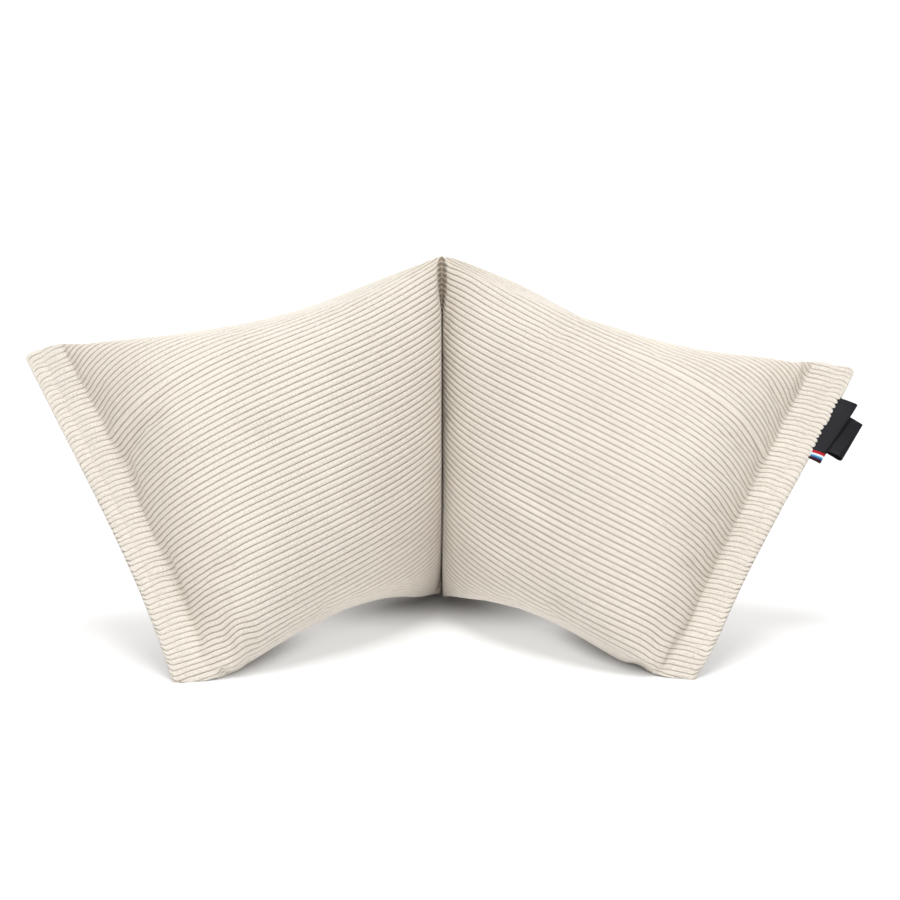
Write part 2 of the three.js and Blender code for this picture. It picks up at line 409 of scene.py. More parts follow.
def hemRing(wing, share, outwards=0.0, wobble=0.0, places=ribPlaces, swell=0.0):
    thickness = np.interp(share, hem["shares"], hem["thickness"]) + 2 * swell
    hollow = [a * (1 - share) + b * share for a, b in zip(wing["creaseHollow"], wing["hemHollow"])]
    arch = hem["arch"] * fullest(share) * np.sin(2 * math.pi * places / ribsRound)
    firstRib = arch - wing["skew"] * share + wobble
    section = hemFrame(wing, share)
    pulledIn = wing["footPull"] * share * hump(places - cloth["ribsAcross"], cloth["footPullRibs"])
    reach = outwards - cloth["hemEnd"] * share
    corner = cloth["hemCorner"]
    fromEdge = np.linalg.norm(hemFrame(wing, 1)["middle"] - section["middle"]) - reach
    rounded = corner - math.sqrt(corner**2 - min(max(corner - fromEdge, 0), corner) ** 2)
    section["above"] -= rounded
    section["below"] -= rounded
    points = ring(
        section, thickness / 2, thickness / 2, cloth["flatEdge"], firstRib, hollow, wing["side"],
        reach, places,
    )
    return points - np.outer(pulledIn, section["outwards"])


def hemPucker(share, width, inner, outer):
    stitches = round(flatLength / hem["stitchStep"])
    holePlace = (ribPlaces * stitches / cloth["ribsAcross"] + 0.5) % 1 - 0.5
    fromHole = holePlace * hem["stitchStep"] / hem["holeSize"]
    fromRow = (share - hem["stitchShare"]) * width / hem["holeSize"]
    hole = np.exp(-fromHole**2 - hem["rowHoleLength"] * fromRow**2)
    creaseHole = np.exp(-fromHole**2 - (share * width / hem["creaseHoleReach"]) ** 2)
    holes = -hem["holeDepth"] * (hole + hem["creaseHoleShare"] * creaseHole)
    within = math.sin(math.pi * min(share / hem["stitchShare"], 1)) ** 2
    beyond = math.sqrt(max(share - hem["stitchShare"], 0) / (1 - hem["stitchShare"]))
    return holes + hem["puckerInner"] * within * inner + hem["puckerOuter"] * beyond * outer


def shaped(wing, u, points, section):  # the full front's own forms
    wall, lips, rounding = cloth["wall"], cloth["lips"], cloth["footRounding"]
    down = fromTop(turnedRibs(wing, u))
    fromCrease, fromSeam = 1 - u, u * cloth["seamToHem"]
    onFront = np.where(down < 1, np.sin(math.pi * np.clip(down, 0, 1)), 0)
    wallHeight = wall["height"] * math.tanh(fromCrease / wall["width"]) * hump(fromCrease, wall["fades"])
    lipHeight = lips["height"] * (1 - hump(fromSeam, lips["from"])) * math.exp(-fromSeam / lips["fades"])
    lift = wallHeight * onFront ** wall["roundness"] + lipHeight * onFront ** lips["roundness"]
    for place, rib, length, width, depth in wing["dents"]:
        lift = lift + depth * hump(u - place, length) * hump(ribPlaces - rib, width)
    low = np.clip((down - rounding["from"]) / (1 - rounding["from"]), 0, 1)
    nearSeam = hump(u, rounding["fades"]) * (1 - hump(u, rounding["nearest"]))
    low = np.where(down < 1.1, eased(low), 0) * wing["footRounding"] * nearSeam
    out = np.maximum((points - section["middle"]) @ section["out"], 0)
    channel = inChannel(fromSeam, down)
    held = channel * cloth["channel"]["held"] * np.maximum(out - cloth["seamThickness"] / 2, 0)
    return (points + np.outer(lift * (1 - channel), cloth["towardsFront"])
            - np.outer(low * out + held, section["out"]))


def channelHalf(down):  # half the width of the open groove at the centre seam's top end
    channel = cloth["channel"]
    narrow = np.clip((down - channel["from"]) / (channel["to"] - channel["from"]), 0, 1)
    starts = np.clip(down / channel["starts"], 0, 1)
    return channel["half"] * (1 - eased(narrow)) * starts * (down < channel["ends"])


def inChannel(fromSeam, down):
    return np.exp(-((fromSeam / (channelHalf(down) + 0.01)) ** 4))


def frontGap(wing, u):  # how far each wing's front keeps from the middle
    opening = cloth["channel"]["opens"] * u * cloth["seamToHem"]
    return np.maximum(np.minimum(channelHalf(fromTop(turnedRibs(wing, u))), opening), cloth["wingGap"] / 2)


def movedRibs(wing, u):  # one rib on each front is wider, and others sway
    wide = wing["wideRib"]
    fromRib = ribPlaces - wide["rib"]
    share = min(max((u - wide["from"]) / 0.15, 0), 1)
    places = ribPlaces + wide["wider"] * share * np.tanh(fromRib * 2) * hump(fromRib, 5)
    for place, rib, length, width, moved in wing["swayed"]:
        places = places + moved * hump(u - place, length) * hump(ribPlaces - rib, width)
    return places


def wingRings(wing):
    rows = []
    half = cloth["seamThickness"] / 2
    for step in range(1, cloth["wingRows"] + 1):
        share = step / cloth["wingRows"]
        crowded = 0.5 - 0.5 * math.cos(math.pi * share)
        u = cloth["rowsEven"] * share + (1 - cloth["rowsEven"]) * crowded
        full = fullest(u) ** 0.5
        section = wingFrame(wing, u)
        hollow = (wing["creaseHollow"][0] * u**4, wing["creaseHollow"][1])
        points = ring(
            section, half + bulge(wing["front"], u), half + bulge(wing["back"], u),
            cloth["flatEdge"] + (1 - cloth["flatEdge"]) * full, turnedRibs(wing, u), hollow, wing["side"],
            places=movedRibs(wing, u), gap=frontGap(wing, u),
        )
        points = shaped(wing, u, points, section)
        points[:, 2] = np.maximum(points[:, 2], 0)
        rows.append((points, 0.5 + 0.5 * full, u * cloth["seamToHem"], np.zeros(columns)))
    hemWidth = np.linalg.norm(hemFrame(wing, 1)["middle"] - hemFrame(wing, 0)["middle"])
    inner, outer, wobble = (waves(ribPlaces, hem["wavesEach"], *lengths) for lengths in hem["waveLengths"])
    for step in range(1, cloth["hemRows"] + 1):
        share = step / cloth["hemRows"]
        sway = hem["wobble"] * wobble * math.sin(math.pi * share * hem["wobbleTurn"])
        atEdge = max(share - hem["scallopFrom"], 0) / (1 - hem["scallopFrom"])
        rows.append((
            scalloped(hemRing(wing, share, wobble=sway), wing, atEdge),
            np.interp(share, hem["shares"], hem["relief"]),
            cloth["seamToHem"] + share * hemWidth, hemPucker(share, hemWidth, inner, outer),
        ))
    sway = hem["wobble"] * wobble * math.sin(math.pi * hem["wobbleTurn"])
    for turn in cloth["edgeTurns"]:
        thinner = hem["thickness"][-1] / 2 * (math.cos(turn) - 1)
        out = cloth["hemEnd"] * math.sin(turn)
        rows.append((
            scalloped(hemRing(wing, 1, out, sway, swell=thinner), wing, 1), hem["edgeRelief"],
            cloth["seamToHem"] + hemWidth + out, hem["puckerOuter"] * outer * math.cos(turn),
        ))
    return soften(rows)


def soften(rows):  # the crease bends in a small curve, and runs out above the hem's foot
    along = np.array([row[2] for row in rows])
    points = np.array([row[0] for row in rows])
    points = evenOut(points, along, **cloth["crease"])
    points = evenOut(points, along, **cloth["smoothFoot"], where=nearHemFoot()[:, None])
    return [(place,) + row[1:] for place, row in zip(points, rows)]


def evenOut(points, along, softness, fades, reach, where=1.0):
    spacing = np.gradient(along)
    fromCrease = along - cloth["seamToHem"]
    result = points.copy()
    for i in np.flatnonzero(np.abs(fromCrease) < reach * softness):
        weight = np.exp(-(((along - along[i]) / softness) ** 2) / 2) * spacing
        share = hump(fromCrease[i], fades * softness) * where
        result[i] = points[i] * (1 - share) + np.tensordot(weight / weight.sum(), points, 1) * share
    return result


def nearHemFoot():
    return hump(ribPlaces - cloth["hemFootRib"], cloth["hemFootRibs"])


def scalloped(points, wing, share):  # the hem's edge dips a little at each groove
    dip = np.abs(ribPlaces % 1 * 2 - 1) ** 2.5
    return points - np.outer(hem["scallop"] * share * dip, hemFrame(wing, 1)["outwards"])


def spineRing(swell=0.0, places=ribPlaces):
    section = {
        "middle": spineTop / 2, "up": unit(spineTop), "out": unit(np.cross(unit(spineTop), (-1.0, 0, 0))),
        "outwards": np.zeros(3), "half": seamLength / 2, "above": seamLength / 2, "below": seamLength / 2,
    }
    half = cloth["seamThickness"] / 2 + swell
    return ring(section, half, half, cloth["flatEdge"], cloth["hemTurn"], (0, 0), 0, places=places)


leftRings, rightRings = wingRings(wings[0]), wingRings(wings[1])
rings = leftRings[::-1] + [(spineRing(), 0.5, 0, np.zeros(columns))] + rightRings
surface = np.array([points for points, *_ in rings])
print("cloth laid out", surface.shape)

# The filling pushes the cloth out between its seams. A coarse copy is simulated, and moves the fine one
settling = {
    "rowPitch": 4.5,
    "frames": 20,
    "mass": 0.15,
    "quality": 6,
    "pressure": 4.0,
    "spareCloth": 0.035,  # how much more cloth there is than the shape needs
    "tension": 18.0,
    "shear": 4.5,
    "bending": 0.4,
    "sewnReach": 1.5,
    "cap": 2.6,  # what the fine cloth moves at most
    "calmDown": 0.28,  # the centre seam's top end is sewn fast and stays as laid out
    "calmAlong": 34.0,
    "valleySoftness": 0.5,
}


def gridFaces(rows, across):
    index = np.arange(rows * across).reshape(rows, across)
    turned = np.roll(index, -1, 1)
    quads = np.stack([index[:-1], turned[:-1], turned[1:], index[1:]], -1).reshape(-1, 4)
    ends = []
    for start, flip in ((0, False), ((rows - 1) * across, True)):
        for j in range(across // 2):
            face = [start + j, start + (across - j) % across, start + across - j - 1, start + j + 1]
            face = list(dict.fromkeys(face))
            ends.append(face[::-1] if flip else face)
    return quads, ends


def between(values, place):  # rows of values at places between them
    low = np.minimum(place.astype(int), len(values) - 2)
    share = eased(place - low).reshape(-1, *[1] * (values.ndim - 1))
    return values[low] * (1 - share) + values[low + 1] * share


def settle(surface, along):
    step = len(cloth["ribSteps"])
    picked = [0]
    for row in range(1, len(along)):
        if along[row] - along[picked[-1]] >= settling["rowPitch"] or along[row] == 0:
            picked.append(row)
    picked[-1] = len(along) - 1
    coarse = surface[picked][:, ::step]
    rows, across = coarse.shape[:2]
    quads, ends = gridFaces(rows, across)
    trial = newPiece("clothTrial", coarse.reshape(-1, 3) * metre, quads.tolist() + ends)
    middle = cloth["seamToHem"] / 2
    held = np.abs(np.abs(along[picked]) - middle) > middle - settling["sewnReach"]
    sewn = trial.vertex_groups.new(name="sewn")
    sewn.add(np.flatnonzero(np.repeat(held, across)).tolist(), 1.0, "REPLACE")
    modifier = trial.modifiers.new("filling", "CLOTH")
    modifier.settings.mass = settling["mass"]
    modifier.settings.quality = settling["quality"]
    modifier.settings.tension_stiffness = settling["tension"]
    modifier.settings.compression_stiffness = settling["tension"]
    modifier.settings.shear_stiffness = settling["shear"]
    modifier.settings.bending_stiffness = settling["bending"]
    modifier.settings.vertex_group_mass = "sewn"
    modifier.settings.shrink_min = -settling["spareCloth"]
    modifier.settings.use_pressure = True
    modifier.settings.uniform_pressure_force = settling["pressure"]
    modifier.settings.effector_weights.gravity = 0
    modifier.collision_settings.use_collision = False
    for moment in range(1, settling["frames"] + 1):
        bpy.context.scene.frame_set(moment)
    filled = trial.evaluated_get(bpy.context.evaluated_depsgraph_get()).data
    places = np.zeros(rows * across * 3, np.float32)
    filled.vertices.foreach_get("co", places)
    moved = places.reshape(rows, across, 3) / metre - coarse
    bpy.data.objects.remove(trial)
    bpy.context.scene.frame_set(1)
    length = np.linalg.norm(moved, axis=2, keepdims=True)
    print("cloth settled, moved up to", round(float(length.max()), 1), "mm, mean",
          round(float(length.mean()), 2), "mm; the fine cloth follows up to", settling["cap"], "mm")
    moved *= np.tanh(length / settling["cap"]) * settling["cap"] / np.maximum(length, 1e-6)
    full = between(moved, np.interp(np.arange(len(along)), picked, np.arange(rows)))
    closed = np.concatenate([full, full[:, :1]], 1).swapaxes(0, 1)
    full = between(closed, np.arange(columns) / step).swapaxes(0, 1)
    down = fromTop(cloth["hemTurn"])
    nearTop = hump(np.minimum(down, 2 - down), settling["calmDown"])
    full *= 1 - np.outer(hump(along, settling["calmAlong"]), nearTop)[..., None]
    result = surface + full
    result[..., 2] = np.maximum(result[..., 2], 0)
    sides = np.sign(along)[:, None]
    apart = sides * softly(sides * result[..., 0], cloth["wingGap"] / 2, settling["valleySoftness"])
    result[..., 0] = np.where(sides != 0, apart, result[..., 0])
    return result


rowsAlong = np.array([-row[2] for row in leftRings[::-1]] + [0] + [row[2] for row in rightRings])
surface = settle(surface, rowsAlong)


# The cover as a mesh: columns follow the ribs, rows go from the left hem to the right one
seamShadeAmounts = {  # painted shade beside the seams, where the ribs crowd together: how strong, and over what distance; onHem below 0 paints the hem lighter
    "besideCrease": (0.62, 40), "besideSeam": (0.8, 38), "onHem": (-0.6, 4.5), "inSeam": (1.6, 3),
    "inChannel": 3.2, "lessAtHemFoot": 0.8, "hemFootFrom": 270, "hemFootSoftness": 12,
}


def paintedSeamShading():  # painted shade: more than 0 beside a seam and in the top of the centre seam, where the ribs crowd together; below 0 on a hem, which is painted lighter
    fromSeam = np.abs(rowsAlong)
    fromCrease = cloth["seamToHem"] - fromSeam
    (byCrease, creaseReach), (bySeam, seamReach) = seamShadeAmounts["besideCrease"], seamShadeAmounts["besideSeam"]
    (onHem, hemReach), (inSeam, deepReach) = seamShadeAmounts["onHem"], seamShadeAmounts["inSeam"]
    beside = byCrease * hump(fromCrease, creaseReach) + bySeam * hump(fromSeam, seamReach)
    hemRows = onHem + (byCrease - onHem) * np.exp(np.minimum(fromCrease, 0) / hemReach)
    byRow = np.where(fromCrease > 0, beside, hemRows)
    nearHem = 1 / (1 + np.exp(-(fromSeam - seamShadeAmounts["hemFootFrom"]) / seamShadeAmounts["hemFootSoftness"]))
    less = 1 - seamShadeAmounts["lessAtHemFoot"] * np.outer(nearHem, nearHemFoot())
    down = fromTop(cloth["hemTurn"])
    deep = np.outer(inSeam * hump(fromSeam, deepReach), down < 1)
    inTop = np.array([inChannel(distance, down) for distance in fromSeam])
    return byRow[:, None] * less + deep + seamShadeAmounts["inChannel"] * inTop


def coverMesh():
    rows = len(rings)
    quads, ends = gridFaces(rows, columns)
    piece = newPiece("pillow_cover_cloth", surface.reshape(-1, 3) * metre, quads.tolist() + ends)
    mesh = piece.data
    values = {
        "ribPlace": np.tile(ribPlaces, rows),
        "ribRelief": np.repeat([row[1] for row in rings], columns),
        "pucker": np.concatenate([row[3] for row in rings]),
        "paintedSeamShade": paintedSeamShading().ravel(),
    }
    for name, numbers in values.items():
        mesh.attributes.new(name, "FLOAT", "POINT").data.foreach_set("value", numbers.astype(np.float32))
    corner = np.zeros(len(mesh.loops), np.int32)
    mesh.loops.foreach_get("vertex_index", corner)
    uv = np.stack([ribPlaces[corner % columns], rowsAlong[corner // columns] / cloth["ribPitch"]], -1)
    last = np.zeros(len(mesh.loops), bool)  # the last column's faces reach over to the first rib
    last[: quads.size] = np.tile(np.repeat(np.arange(columns) == columns - 1, 4), rows - 1)
    uv[last & (uv[:, 0] < 1), 0] += ribsRound
    mesh.uv_layers.new(name="clothUV").data.foreach_set("uv", uv.astype(np.float32).ravel())
    return piece


# Ribs, raised by Geometry Nodes
ribs = {
    "Rib Relief": 1.1 * metre, "Rib Fullness": 3.0, "Sunk Share": 0.7, "Unevenness": 0.3 * metre,
    "Slub Size": 42.0,
}


def ribTree():
    graph, given = treeOf("raiseRibs", {
        "Rib Relief": ("Float", 0.001), "Rib Fullness": ("Float", 3.0), "Sunk Share": ("Float", 0.5),
        "Unevenness": ("Float", 0.0001), "Slub Size": ("Float", 50.0), "Cloth": ("Material", None),
    })
    place, relief, pucker = (
        graph.value("GeometryNodeInputNamedAttribute", {"data_type": "FLOAT"}, {"Name": name})
        for name in ("ribPlace", "ribRelief", "pucker")
    )
    fromCrest = graph.math("ABSOLUTE", graph.math("FRACT", place) * 2 - 1)
    height = 1 - fromCrest ** given["Rib Fullness"]
    slub = graph.value("ShaderNodeTexNoise", None, {"Scale": given["Slub Size"], "Detail": 2.0})
    ribLift = (height - given["Sunk Share"]) * relief * given["Rib Relief"]
    lift = ribLift + (slub - 0.5) * given["Unevenness"] + pucker * metre
    normal = graph.value("GeometryNodeInputNormal")
    offset = graph.value("ShaderNodeVectorMath", {"operation": "SCALE"}, {0: normal, "Scale": lift})
    raised = graph.value("GeometryNodeSetPosition", None, {"Geometry": given["Geometry"], "Offset": offset})
    return endTree(graph, raised, given["Cloth"])


# Cloth material: cream rib with a fine twill, with painted shade in the grooves and beside the seams, and
# the hems painted lighter
clothFinish = {
    "crest": (0.845, 0.788, 0.71, 1),
    "thread": (0.36, 0.315, 0.26, 1),  # between the twill's yarns
    # painted shade in the grooves between the ribs
    "groove": (0.30, 0.25, 0.195, 1),
    "crowded": (0.62, 0.55, 0.45, 1),  # painted shade beside the seams
    "fibreScale": 1100.0,
    "slubScale": 260.0,
    "patchScale": 14.0,
    "patchShade": 0.96,
    "patchShare": 0.35,
    "twillAlong": 3.7,  # yarns to a rib's pitch
    "twillAcross": 2.6,
    "twillWaver": 1.2,
    "twillDepth": 0.0002,
    "speckleEnds": (0.18, 0.82),
    "grooveWaver": 0.07,
    "grooveWidth": (0.16, 0.09),  # of the painted groove shade, in rib pitches: everywhere, and more with the painted seam shade
    "grooveShare": (0.65, 0.35, 0.12),  # painted groove shade: everywhere, more in slubs, more with the painted seam shade
    "seamShadeShare": 0.5,
    "roughness": (0.85, 0.13),  # least, and how far the fibres add to it
}


def clothMaterial():
    material, graph, shader = newMaterial("creamRibCloth", {
        "Sheen Weight": 0.2, "Sheen Roughness": 0.55, "Specular IOR Level": 0.25,
    })
    look = clothFinish
    rib, along = graph.mapPlace("clothUV")
    fibre, slub, patch = (graph.noise(look[name]) for name in ("fibreScale", "slubScale", "patchScale"))
    wavering = rib + (slub - 0.5) * look["grooveWaver"] * 2
    fromGroove = 0.5 - graph.math("ABSOLUTE", graph.math("FRACT", wavering) - 0.5)
    paintedSeamShade = graph.value("ShaderNodeAttribute", {"attribute_name": "paintedSeamShade"}, None, 2)
    crowded = graph.math("MAXIMUM", paintedSeamShade, 0)
    narrowest, wider = look["grooveWidth"]
    inGroove = 1 - graph.ease(fromGroove, 0.0, narrowest + paintedSeamShade * wider)
    yarns = along * look["twillAlong"] + rib * look["twillAcross"] + (slub - 0.5) * look["twillWaver"]
    twill = graph.math("SINE", yarns * (2 * math.pi)) * 0.5 + 0.5
    speckle = graph.ease(twill * 0.5 + fibre * 0.8, *look["speckleEnds"])
    crest = graph.mixColour(speckle, look["thread"], look["crest"])
    inPatch = graph.ease(patch, 0.35, 0.7) * look["patchShare"]
    crest = graph.mixColour(inPatch, crest, shaded(look["crest"], look["patchShade"]))
    # painted shade beside the seams and in the top of the centre seam
    crest = graph.mixColour(crowded * look["seamShadeShare"], crest, look["crowded"])
    everywhere, inSlubs, inSeamShade = look["grooveShare"]
    # painted shade in the grooves, deeper beside the seams and lighter on the hems
    paintedShade = inGroove * (everywhere + slub * inSlubs + paintedSeamShade * inSeamShade)
    least, byFibre = look["roughness"]
    height = (twill * 0.6 + fibre) * (1 - inGroove * 0.7)
    graph.finish(shader, graph.mixColour(paintedShade, crest, look["groove"]), least + fibre * byFibre,
                 height, 0.7, look["twillDepth"])
    return material


creamCloth = clothMaterial()
cover = coverMesh()
cover.data.materials.append(creamCloth)
applyTree(cover, ribTree(), {**ribs, "Cloth": creamCloth})
flattenFoot(cover)
print("cover made", len(cover.data.polygons), "faces")

# Stitch rows: along both hems, in their creases and down the centre seam
stitches = {
    "Stitch Pitch": hem["stitchStep"] * metre, "Stitch Length": 3.6 * metre,
    "Thread Thickness": 0.55 * metre,
}
stitchRows = {
    "fromEnds": 1.2,  # ribs left out at each end
    "points": 300,
    "hems": (("hem", hem["stitchShare"], 0.05), ("crease", 0.0, 0.35)),  # place on the hem, height over it
    "centreSeam": 0.3,
    "shadow": (0.62, 0.56, 0.47, 1),
    "thread": (0.80, 0.75, 0.66, 1),
}


def stitchTree():
    graph, given = treeOf("sewStitches", {
        "Stitch Pitch": ("Float", 0.005), "Stitch Length": ("Float", 0.003),
        "Thread Thickness": ("Float", 0.0005), "Thread": ("Material", None),
    })
    line = graph.value("GeometryNodeMeshToCurve", None, {0: given["Geometry"]})
    even = graph.value(
        "GeometryNodeResampleCurve", {"mode": "LENGTH"}, {"Curve": line, "Length": given["Stitch Pitch"]}
    )
    bead = graph.value("GeometryNodeMeshUVSphere", None, {"Segments": 8, "Rings": 6, "Radius": 0.5})
    size = graph.value("ShaderNodeCombineXYZ", None, {
        0: given["Stitch Length"], 1: given["Thread Thickness"], 2: given["Thread Thickness"],
    })
    tangent = graph.value("GeometryNodeInputTangent")
    turned = graph.value("FunctionNodeAlignRotationToVector", {"axis": "X"}, {"Vector": tangent})
    placedBeads = graph.value("GeometryNodeInstanceOnPoints", None, {
        "Points": even, "Instance": bead, "Rotation": turned, "Scale": size,
    })
    real = graph.value("GeometryNodeRealizeInstances", None, {0: placedBeads})
    smooth = graph.value("GeometryNodeSetShadeSmooth", None, {0: real})
    return endTree(graph, smooth, given["Thread"])


def threadMaterial():
    material, graph, shader = newMaterial("creamThread", {"Sheen Weight": 0.3, "Specular IOR Level": 0.3})
    ply = graph.noise(900.0)
    colour = graph.mixColour(ply, stitchRows["shadow"], stitchRows["thread"])
    graph.finish(shader, colour, 0.7 + ply * 0.2, ply, 0.5, 0.0001)
    return material


def stitchRow(name, faces):  # one line of points on the front of the cloth, and one on its back
    points, edges = [], []
    for row in faces:
        start = len(points)
        points += row.tolist()
        edges += [(start + i, start + i + 1) for i in range(len(row) - 1)]
    piece = newPiece(name, np.array(points) * metre, (), edges)
    applyTree(piece, stitchTree(), {**stitches, "Thread": creamThread})
    flattenFoot(piece)
    return piece


creamThread = threadMaterial()
faceRibs = [
    np.linspace(start + stitchRows["fromEnds"], start + cloth["ribsAcross"] - stitchRows["fromEnds"],
                stitchRows["points"])
    for start in (0, cloth["ribsAcross"])
]
sewn = []
for wing, name in zip(wings, ("left", "right")):
    for label, share, swell in stitchRows["hems"]:
        rows = [hemRing(wing, share, places=places, swell=swell) for places in faceRibs]
        sewn.append(stitchRow(f"{name}_{label}_stitches", rows))
spineRows = [spineRing(stitchRows["centreSeam"], places + cloth["hemTurn"]) for places in faceRibs]
sewn.append(stitchRow("centre_seam_stitches", spineRows))
print("stitches sewn", sum(len(piece.data.polygons) for piece in sewn), "faces")

# The two folded labels in the edge of the right hem
labelLook = {
    "thickness": 0.45,
    "caughtDepth": 2.2,
    "caughtGap": 0.45,  # between the two leaves, where the seam holds them
    "stepsAlong": 90,
    "stepsRound": 72,
    "leafSteps": 30,
    "foldSteps": 14,
    "flareShare": 0.16,  # of the length, from the top end
    "curlShare": 0.14,  # of the length, from the lower end
    "droop": (0.9, 0.3, 0.6),  # how far the top end droops, over what share, and how far the lower end rises
    "yarns": (0.42, 0.5),  # along and across, in mm
    "bare": (0.0065, 0.006, 0.0078, 1),
    "worn": 2.6,
    "bands": (  # from the front label's lower end: where each band begins, in mm, and its colour
        (0.0, (0.045, 0.006, 0.012, 1)), (1.6, (0.018, 0.09, 0.24, 1)), (2.6, (0.08, 0.34, 0.60, 1)),
        (3.7, (0.72, 0.80, 0.86, 1)), (5.3, (0.50, 0.008, 0.016, 1)), (7.5, (0.0065, 0.006, 0.0078, 1)),
    ),
}
# start and end are along the hem's edge. reach and swing are given for the top and the lower end
labels = (
    {
        "name": "front_label", "start": 30.5, "end": 91, "reach": (14.8, 9.6), "behind": -1.1,
        "swing": (5, 1), "fold": (1.3, 0.75, 1.2), "bowed": -0.7, "flare": -1.4, "curl": 2.2,
    },
    {
        "name": "care_label", "start": 41, "end": 79.5, "reach": (24.9, 23.4), "behind": 1.1,
        "swing": (-9, -6), "fold": (1.1, 1.3, 3.4), "bowed": -1.8, "flare": -0.3, "curl": -0.9,
    },
)


def hemEdge(wing, distance):  # a point of the hem's edge, measured along it from its top end
    section = hemFrame(wing, 1)
    up = section["half"] - distance
    point = section["middle"] + section["up"] * up
    point -= section["outwards"] * inside(wing["hemHollow"], up / section["half"])
    return point - np.array([0, 0, cloth["footPress"]])


def loop(reach, fold, bowed):  # a hairpin of ribbon seen end on: out along the front leaf, round, and back
    out = np.linspace(-labelLook["caughtDepth"], reach - fold, labelLook["leafSteps"])
    swell = bowed * np.sin(math.pi * np.clip(out / reach, 0, 1))
    gap = labelLook["caughtGap"]
    opening = gap + (fold - gap) * np.clip(out / (reach - fold), 0, 1) ** 1.5
    turn = np.linspace(-math.pi / 2, math.pi / 2, labelLook["foldSteps"])[1:-1]
    x = np.concatenate([out, reach - fold + fold * np.cos(turn), out[::-1]])
    y = np.concatenate([swell - opening, fold * np.sin(turn), (opening + 0.35 * swell)[::-1]])
    lengths = np.concatenate([[0], np.cumsum(np.hypot(np.diff(x), np.diff(y)))])
    at = np.linspace(0, lengths[-1], labelLook["stepsRound"])
    return np.interp(at, lengths, x), np.interp(at, lengths, y), at


def labelRow(wing, label, t):  # points round the folded ribbon, from its top end at 0 to its lower end at 1
    section = hemFrame(wing, 1)
    foot = hemEdge(wing, label["end"])
    length = label["end"] - label["start"]
    up = unit(hemEdge(wing, label["start"]) - foot)
    straight = unit(section["outwards"] - up * np.dot(section["outwards"], up))
    side = np.cross(up, straight)
    reach = np.interp(t, (0, 1), label["reach"])
    fold = np.interp(t, (0, 0.45, 1), label["fold"])
    x, y, at = loop(reach, fold, label["bowed"] * (0.6 + 0.4 * t))
    swing = math.radians(-np.interp(t, (0, 1), label["swing"]))
    outwards = straight * math.cos(swing) + side * math.sin(swing)
    across = side * math.cos(swing) - straight * math.sin(swing)
    loose = np.clip(x / reach, 0, 1)
    flared = label["flare"] * max(1 - t / labelLook["flareShare"], 0) ** 2
    curled = label["curl"] * max(1 - (1 - t) / labelLook["curlShare"], 0) ** 2
    lift = flared * loose + curled * (0.3 + 0.7 * loose)
    down, over, upAgain = labelLook["droop"]
    droop = loose * (upAgain * t - down * max(1 - t / over, 0))
    base = foot + up * length * (1 - t) + side * label["behind"]
    points = base + np.outer(x, outwards) + np.outer(y + lift, across) + np.outer(droop, up)
    return points, np.stack([at, np.full(len(at), length * (1 - t))], -1)


def labelPiece(wing, label, material):
    steps, ringSteps = labelLook["stepsAlong"], labelLook["stepsRound"]
    points, uv = zip(*(labelRow(wing, label, t) for t in np.linspace(0, 1, steps)))
    index = np.arange(steps * ringSteps).reshape(steps, ringSteps)
    quads = np.stack([index[:-1, :-1], index[:-1, 1:], index[1:, 1:], index[1:, :-1]], -1).reshape(-1, 4)
    piece = newPiece(label["name"] + "_ribbon", np.concatenate(points) * metre, quads.tolist())
    mesh = piece.data
    corner = np.zeros(len(mesh.loops), np.int32)
    mesh.loops.foreach_get("vertex_index", corner)
    uv = np.concatenate(uv)[corner].astype(np.float32)
    mesh.uv_layers.new(name="ribbonUV").data.foreach_set("uv", uv.ravel())
    mesh.materials.append(material)
    wall = piece.modifiers.new("wall", "SOLIDIFY")
    wall.thickness = labelLook["thickness"] * metre
    wall.offset = 0
    applyModifiers(piece)
    return piece


def ribbonMaterial(name, bands):
    material, graph, shader = newMaterial(name, {"Specular IOR Level": 0.14})
    across, along = graph.mapPlace("ribbonUV")
    threadPlace = graph.value("ShaderNodeCombineXYZ", None, {0: across * 1.2, 1: along * 6})
    fibre = graph.noise(1.0, threadPlace, 3.0)
    weftPitch, warpPitch = labelLook["yarns"]
    weft = graph.math("SINE", along * (2 * math.pi / weftPitch))
    warp = graph.math("SINE", across * (2 * math.pi / warpPitch))
    colour = graph.mixColour(fibre, labelLook["bare"], shaded(labelLook["bare"], labelLook["worn"]))
    ripple = along + (fibre - 0.5) * 0.3
    for ends, tint in bands:
        inBand = 1 - graph.ease(ripple, ends - 0.12, ends + 0.12)
        colour = graph.mixColour(inBand, colour, graph.mixColour(fibre, shaded(tint, 0.8), tint))
    graph.finish(shader, colour, 0.42 + fibre * 0.2, weft * warp * 0.5 + fibre, 0.6, 0.00009)
    return material


bands = labelLook["bands"]
stripes = [(bands[i + 1][0], bands[i][1]) for i in range(len(bands) - 1)][::-1]
frontRibbon = labelPiece(wings[1], labels[0], ribbonMaterial("blackRibbonWithBands", stripes))
careRibbon = labelPiece(wings[1], labels[1], ribbonMaterial("blackRibbon", []))
print("labels folded")

